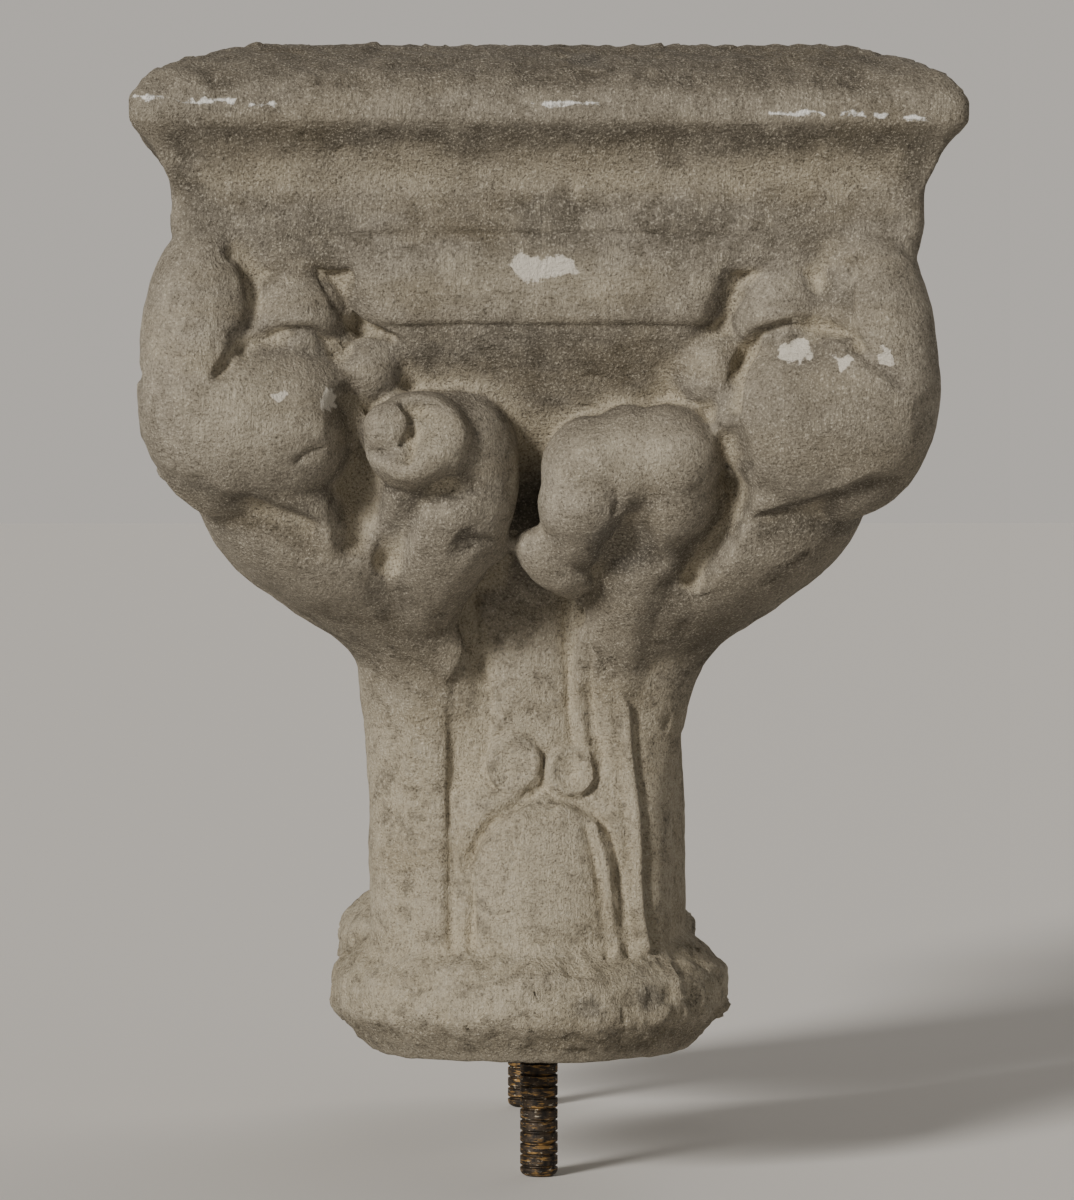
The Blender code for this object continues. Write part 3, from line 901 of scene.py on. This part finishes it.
def facets(size, seed, which):
    """Flat tooled facets about size millimetres across, each tilted its own way, from -1 to 1."""
    random = np.random.default_rng(seed)
    scaled = points[which] / (size * MM)
    cell = np.floor(scaled).astype(int)
    cell_low = cell.min(axis=0) - 1
    shape = tuple(cell.max(axis=0) - cell_low + 2)
    centres = random.uniform(0, 1, shape + (3,))
    tilts = random.normal(0, 0.6, shape + (3,))
    nearest = np.full(len(scaled), 1e9)
    height = np.zeros(len(scaled))
    for step in np.ndindex(3, 3, 3):
        there = cell + np.array(step) - 1
        i, j, k = (there - cell_low).T
        offset = scaled - there - centres[i, j, k]
        far = (offset ** 2).sum(axis=1)
        closer = far < nearest
        nearest[closer] = far[closer]
        height[closer] = (offset * tilts[i, j, k]).sum(axis=1)[closer] + 0.4 * tilts[i, j, k, 0][closer]
    return np.clip(height, -1, 1)


up = points[:, 2] / MM
on_ring = ramp(-up, -43, -38) * ramp(up, 8, 14)
on_top_edge = ramp(up, 366, 372)
on_slab = ramp(up, 300, 312)
wave = 0.5 * lumps(38, 1) + 0.35 * lumps(17, 2)
peck = 0.34 * lumps(7, 3) + 0.26 * lumps(4.2, 4) + 0.12 * lumps(2.6, 5)
ring_band = ramp(-up, -46, -40) * ramp(up, 1, 6)
ring_points = np.flatnonzero(ring_band > 0)
tooled = np.zeros(count)
tooled[ring_points] = facets(RING_FACETS_MM[0], 21, ring_points)
tooled[ring_points] += 0.6 * facets(RING_FACETS_MM[1], 22, ring_points)
nose_points = np.flatnonzero(on_slab > 0)
tooled_slab = np.zeros(count)
tooled_slab[nose_points] = facets(SLAB_FACETS_MM, 23, nose_points)
rough = 1.0 + 0.5 * on_ring + 1.2 * on_top_edge - 0.2 * on_slab * (1 - on_top_edge)
pit = ramp(lumps(5.5, 6), 0.62, 0.85) * ramp(lumps(30, 7), -0.1, 0.5)
move = wave * (1 - 0.5 * on_slab) * (1 - 0.6 * on_ring) + peck * 0.8 * rough - 1.1 * pit
on_bed = ramp(up, 384.5, 386.5) * ramp(normals[:, 2], 0.85, 0.97)
rows = (points[:, 0] + 0.55 * points[:, 1]) / MM + 3.0 * lumps(40, 24) + 1.5 * lumps(12, 25)
furrows = np.sin(rows * 2 * math.pi / FURROW_MM) * (0.6 + 0.4 * lumps(22, 26))
move = move * (1 - 0.55 * on_bed) + 0.55 * furrows * on_bed
move += 1.1 * tooled * ring_band + 0.6 * tooled_slab * on_slab * (0.5 + on_top_edge)
points += normals * (move * MM)[:, None]
normals = normals_now()
print("worked over:", count, "points")

# %% Fewer triangles where the stone is calm
MOST_TRIANGLES = 196500
BORE_CLEARANCE = 0.3
BORE_OVERRUN = 10.0
BORE_SIDES = 96

triangles_now = sum(len(p.vertices) - 2 for p in skin.polygons)
fewer = stone.modifiers.new("fewer faces", "DECIMATE")
fewer.ratio = MOST_TRIANGLES / triangles_now
fewer.use_collapse_triangulate = True
for end in (-1, 1):
    bore = bmesh.new()
    radius = (ROD_HIGH.x - ROD_LOW.x) / 2 + BORE_CLEARANCE * MM
    foot = Matrix.Translation((0.0, end * COLUMN_Y, STONE_LOW.z - BORE_OVERRUN * MM))
    top = Matrix.Translation((0.0, end * COLUMN_Y, ROD_HIGH.z + BORE_CLEARANCE * MM))
    loft(bore, [foot, top], [radius, radius], BORE_SIDES)
    bore_mesh = bpy.data.meshes.new("bore")
    bore.to_mesh(bore_mesh)
    bore.free()
    cutter = bpy.data.objects.new("bore", bore_mesh)
    scene.collection.objects.link(cutter)
    cut = stone.modifiers.new("bore", "BOOLEAN")
    cut.operation = "DIFFERENCE"
    cut.solver = "EXACT"
    cut.object = cutter
settle(stone)
for cutter in [made for made in scene.objects if made.name.startswith("bore")]:
    bpy.data.objects.remove(cutter)
stone.data.shade_smooth()
print(triangles_now, "triangles thinned to", sum(len(p.vertices) - 2 for p in stone.data.polygons))

# %% [markdown]
# ## Limestone, tooled and weathered
# The real stone is a fine-grained limestone: a warm grey-brown with a fine dark and pale speckle, soft darker
# clouds, a yellower tint low on the slab and the neck, pale dust in the hollows and white plaster remains.
# Where the marks sit belongs to the shape, so they are painted as attributes on the points; grain is noise.

# %% Painting the marks
skin = stone.data
count = len(skin.vertices)
points, pairs, degree = read_skin(skin)
normals = normals_now()

broad = points
for _ in range(10):
    broad = neighbour_mean(broad)
hollow = np.einsum("ij,ij->i", broad - points, normals) / MM
for _ in range(2):
    hollow = neighbour_mean(hollow)
dust = ramp(hollow, 0.15, 1.3)
wear = ramp(-hollow, 0.25, 1.6)
tilted = normals[:, 2]
for _ in range(6):
    tilted = neighbour_mean(tilted)
grime = ramp(tilted, 0.15, 0.65) * ramp(points[:, 2], 0.08, 0.14)
shade = ramp(-tilted, 0.05, 0.65)
pale = ramp(-points[:, 2], -0.215, -0.1)

CHALK = ([(133, 97), (170, 101), (215, 102), (275, 106)], [(352, 106), (368, 105)])
CHALK += ([(532, 106), (572, 104), (604, 106)], [(950, 108), (958, 112)])
CHALK += ([(752, 104), (765, 111), (800, 114), (850, 113), (900, 117), (928, 119)],)
PLASTER = (((545, 265), (17.0, 6.5)), ((528, 268), (8.0, 6.0)), ((796, 352), (9.0, 6.5)))
PLASTER += (((843, 362), (6.5, 4.0)), ((888, 356), (5.5, 5.0)), ((278, 396), (5.5, 3.0)))
PLASTER += (((328, 400), (4.0, 7.0)), ((168, 405), (2.0, 3.0)))
# Dark stains on the neck ring and the top of the slab; the last spot is painted shade in the hollow under the
# right bean.
STAINS_AND_SHADE = (((588, 1010), (7.0, 4.5)), ((650, 1000), (6.0, 6.0)), ((585, 60), (7.0, 3.0)))
STAINS_AND_SHADE += (((620, 545), (14.0, 11.0)),)

front = near_face(-90.0, facing=-0.2)
across, down, px_each_mm = seen(front)
chalk = np.zeros(count)
for path in CHALK:
    chalk[front] = np.maximum(chalk[front], bump(distance_to(across, down, path) / px_each_mm, 3.2))


def spots(places):
    """Marks with a firm edge; a place is a pixel and two radii in millimetres."""
    value = np.zeros(count)
    for (cx, cy), (rx, ry) in places:
        far = np.hypot((across - cx) / px_each_mm / rx, (down - cy) / px_each_mm / ry)
        value[front] = np.maximum(value[front], ramp(-far, -1.15, -0.6))
    return value


# Painted shade: soft dark patches on the right lobe, on the right stems under its overhang, in the right slot
# and on the slab's band.
SHADE_PATCHES = (((815, 420), (34.0, 30.0)), ((735, 610), (30.0, 34.0)), ((880, 130), (60.0, 34.0)))
SHADE_PATCHES += (((250, 190), (60.0, 16.0)), ((800, 520), (28.0, 9.0)), ((716, 605), (20.0, 38.0)))
SHADE_PATCHES += (((737, 500), (9.0, 24.0)),)
# Painted light: pale patches on the lit fronts of the right curl, the left lobe, the left curl, the tongue
# and the rim.
LIT_PATCHES = (((630, 455), (30.0, 14.0)), ((245, 410), (26.0, 22.0)), ((546, 885), (26.0, 28.0)))
LIT_PATCHES += (((430, 440), (14.0, 16.0)), ((530, 280), (60.0, 14.0)))


def washes(places):
    """Marks that fade out all the way from their middle."""
    value = np.zeros(count)
    for (cx, cy), (rx, ry) in places:
        far = np.hypot((across - cx) / px_each_mm / rx, (down - cy) / px_each_mm / ry)
        value[front] = np.maximum(value[front], bump(far, 1.3))
    return value


# The painted shade patches, with the slab above 300 mm made darker as well.
painted_shade = np.maximum(washes(SHADE_PATCHES), 0.5 * ramp(points[:, 2], 0.300, 0.316))


def paint(name, values):
    layer = skin.attributes.new(name, "FLOAT", "POINT")
    layer.data.foreach_set("value", values.astype(np.float32))


paint("dust", dust)
paint("wear", wear)
paint("grime", grime)
paint("shade", shade)
paint("painted_shade", painted_shade)
paint("painted_light", washes(LIT_PATCHES))
paint("pale", pale)
paint("chalk", chalk)
paint("plaster", spots(PLASTER))
paint("stain_and_shade", spots(STAINS_AND_SHADE))
print("dust on", round(float((dust > 0.5).mean()) * 100, 1), "% of the points")

# %% Limestone
GRAIN_MM = 0.9
SPECK_MM = 1.8
STROKE_MM = 1.7
MOTTLE_MM = 8.0
CLOUD_MM = 26.0
BED_MM = 60.0
FLAKE_MM = 5.0

limestone, tree, shader = new_material("weathered limestone")
place = add(tree, "ShaderNodeTexCoord").outputs["Object"]


def noise(size_mm, detail=3.0, rough=0.55, stretch=None):
    """Noise with lumps about size_mm across, on the stone's own coordinates."""
    source = place
    if stretch:
        source = add(tree, "ShaderNodeMapping", {"Scale": stretch}, Vector=place).outputs["Vector"]
    settings = {"Scale": 1.0 / (size_mm * MM), "Detail": detail, "Roughness": rough}
    return add(tree, "ShaderNodeTexNoise", settings, Vector=source).outputs["Fac"]


def spread(value, low, high, to_low=0.0, to_high=1.0):
    """Stretch low to high over a new range, held at its ends."""
    settings = {"From Min": low, "From Max": high, "To Min": to_low, "To Max": to_high}
    return add(tree, "ShaderNodeMapRange", settings, Value=value).outputs["Result"]


def maths(operation, a, b):
    node = add(tree, "ShaderNodeMath", {"operation": operation}, _0=a)
    if isinstance(b, float):
        node.inputs[1].default_value = b
    else:
        tree.links.new(b, node.inputs[1])
    return node.outputs[0]


def over(base, colour, amount):
    """Lay a colour over another by an amount."""
    node = add(tree, "ShaderNodeMix", {"data_type": "RGBA"}, _0=amount)
    for socket, value in ((node.inputs[6], base), (node.inputs[7], colour)):
        if isinstance(value, str):
            socket.default_value = linear(value)
        else:
            tree.links.new(value, socket)
    return node.outputs[2]


def painted(name):
    return add(tree, "ShaderNodeAttribute", {"attribute_name": name}).outputs["Fac"]


clouds = noise(CLOUD_MM, 5.0, 0.6)
grain = noise(GRAIN_MM, 3.0, 0.75)
specks = noise(SPECK_MM, 4.0, 0.75)
mottle = noise(MOTTLE_MM, 4.0, 0.65)
beds = noise(BED_MM, 3.0, 0.5, (1.0, 1.0, 3.0))
colour = over("#746e63", "#958e81", spread(clouds, 0.4, 0.6))
colour = over(colour, "#bbb097", maths("MULTIPLY", painted("pale"), 0.6))
colour = over(colour, "#5d574b", maths("MULTIPLY", spread(mottle, 0.52, 0.64), 0.6))
colour = over(colour, "#aca492", maths("MULTIPLY", spread(mottle, 0.48, 0.38), 0.45))
colour = over(colour, "#8a7f68", maths("MULTIPLY", spread(beds, 0.5, 0.68), 0.45))
colour = over(colour, "#5a5348", maths("MULTIPLY", painted("grime"), 0.6))
colour = over(colour, "#4a443a", maths("MULTIPLY", painted("shade"), 0.5))
# Painted light laid over the colour.
colour = over(colour, "#c4baa3", maths("MULTIPLY", painted("painted_light"), 0.38))
# Painted shade laid over the colour.
colour = over(colour, "#4b4539", maths("MULTIPLY", painted("painted_shade"), 0.5))
colour = over(colour, "#b0a795", maths("MULTIPLY", painted("wear"), 0.3))
dusty = maths("MULTIPLY", painted("dust"), spread(specks, 0.35, 0.6, 0.25, 0.75))
colour = over(colour, "#c2b79f", dusty)
# Stains, and painted shade in the hollow under the right bean.
colour = over(colour, "#57544f", maths("MULTIPLY", painted("stain_and_shade"), 0.55))
in_clouds = spread(clouds, 0.35, 0.65, 0.45, 0.9)
in_light = spread(mottle, 0.35, 0.65, 0.65, 0.35)
in_dark = spread(mottle, 0.35, 0.65, 0.35, 0.8)
colour = over(colour, "#3a352c", maths("MULTIPLY", spread(specks, 0.56, 0.64), in_clouds))
colour = over(colour, "#d2cab8", maths("MULTIPLY", spread(grain, 0.55, 0.63), in_light))
colour = over(colour, "#403a31", maths("MULTIPLY", spread(grain, 0.45, 0.37), in_dark))
flakes = noise(FLAKE_MM, 5.0, 0.7)
crust = maths("ADD", maths("MULTIPLY", painted("plaster"), 0.62), flakes)
colour = over(colour, "#d6d0c3", spread(crust, 0.95, 1.03, 0.0, 0.9))
rubbed = maths("ADD", maths("MULTIPLY", painted("chalk"), 0.6), flakes)
colour = over(colour, "#f2f1ec", spread(rubbed, 0.93, 1.05, 0.0, 0.9))
tree.links.new(colour, shader.inputs["Base Color"])
shader.inputs["Roughness"].default_value = 0.92
shader.inputs["IOR"].default_value = 1.5
shader.inputs["Specular IOR Level"].default_value = 0.25
upright = noise(STROKE_MM, 2.0, 0.6, (1.0, 1.0, 0.16))
level = noise(STROKE_MM, 2.0, 0.6, (0.2, 0.6, 1.0))
strokes = over(upright, level, spread(mottle, 0.47, 0.53))
height = maths("ADD", maths("ADD", maths("MULTIPLY", grain, 0.5), maths("MULTIPLY", specks, 0.8)), strokes)
bumped = add(tree, "ShaderNodeBump", {"Strength": 0.9, "Distance": 1.4 * MM}, Height=height)
tree.links.new(bumped.outputs["Normal"], shader.inputs["Normal"])
skin.materials.clear()
skin.materials.append(limestone)

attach(stone, "root")
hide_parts("capital")
print("limestone on", stone.name)

# %% [markdown]
# ## The threaded rods
# Two modern steel rods are set in the necks and hold the stone up. They are coarse threaded bar, gone dark
# and rusty, with broken ochre lines of rust and broken bright lines that are painted highlights on the
# thread.
# Each is a profile spun round its axis.

# %% Rod
THREAD_PITCH = 4.6
THREAD_DEPTH = 0.9
THREAD_START = 0.8
THREAD_SHAPE = ((0.0, 0.0), (0.10, 0.9), (0.17, 1.0), (0.27, 0.15), (0.34, 0.0), (0.9, 0.0))
ROD_SIDES = 64
TIP_ROUND = 2.4


def rod(name, node):
    """A threaded rod in place of a plain one: a rounded foot, then rings one pitch apart."""
    low, high = [Vector(corner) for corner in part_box(node)]
    axis = Vector(((low.x + high.x) / 2, (low.y + high.y) / 2, 0.0))
    radius = (high.x - low.x) / 2
    profile = [(0.0, low.z), (radius - TIP_ROUND * MM, low.z)]
    for step in range(1, 5):
        angle = math.pi / 2 * step / 4
        out = radius - TIP_ROUND * MM * (1 - math.sin(angle))
        profile.append((out, low.z + TIP_ROUND * MM * (1 - math.cos(angle))))
    z = profile[-1][1] + THREAD_START * MM
    while z + THREAD_PITCH * MM < high.z:
        for along, deep in THREAD_SHAPE:
            profile.append((radius - deep * THREAD_DEPTH * MM, z + along * THREAD_PITCH * MM))
        z += THREAD_PITCH * MM
    profile += [(radius, high.z), (0.0, high.z)]
    bm = bmesh.new()
    verts = [bm.verts.new((axis.x + out, axis.y, height)) for out, height in profile]
    edges = [bm.edges.new(pair) for pair in zip(verts, verts[1:])]
    bmesh.ops.spin(
        bm, geom=verts + edges, cent=axis, axis=(0.0, 0.0, 1.0), angle=2 * math.pi, steps=ROD_SIDES,
        use_merge=True,
    )
    bmesh.ops.remove_doubles(bm, verts=bm.verts, dist=0.00002)
    bmesh.ops.recalc_face_normals(bm, faces=bm.faces)
    mesh = bpy.data.meshes.new(name)
    bm.to_mesh(mesh)
    bm.free()
    made = bpy.data.objects.new(name, mesh)
    scene.collection.objects.link(made)
    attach(made, "root")
    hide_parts(node)
    return made


rods = [rod("front_threaded_rod", "front_rod"), rod("rear_threaded_rod", "rear_rod")]
print("rods", [len(r.data.polygons) for r in rods])

# %% Rusted steel
rusted, tree, shader = new_material("rusted mild steel")
place = add(tree, "ShaderNodeTexCoord").outputs["Object"]
colour = over("#221e1a", "#453a2e", spread(noise(3.0, 4.0, 0.6), 0.4, 0.62))
rings = noise(2.4, 3.0, 0.6, (0.4, 0.4, 2.5))
colour = over(colour, "#9a7844", maths("MULTIPLY", spread(rings, 0.54, 0.62), 0.75))
# Painted highlight: broken bright lines round the rod where the thread catches the light.
bright = noise(1.8, 3.0, 0.6, (0.6, 0.6, 2.0))
colour = over(colour, "#cfc5b0", maths("MULTIPLY", spread(bright, 0.62, 0.7), 0.7))
tree.links.new(colour, shader.inputs["Base Color"])
shader.inputs["Metallic"].default_value = 0.6
shader.inputs["Roughness"].default_value = 0.6
bumped = add(tree, "ShaderNodeBump", {"Strength": 0.5, "Distance": 0.3 * MM}, Height=noise(0.8, 3.0, 0.6))
tree.links.new(bumped.outputs["Normal"], shader.inputs["Normal"])
for made in rods:
    made.data.materials.append(rusted)
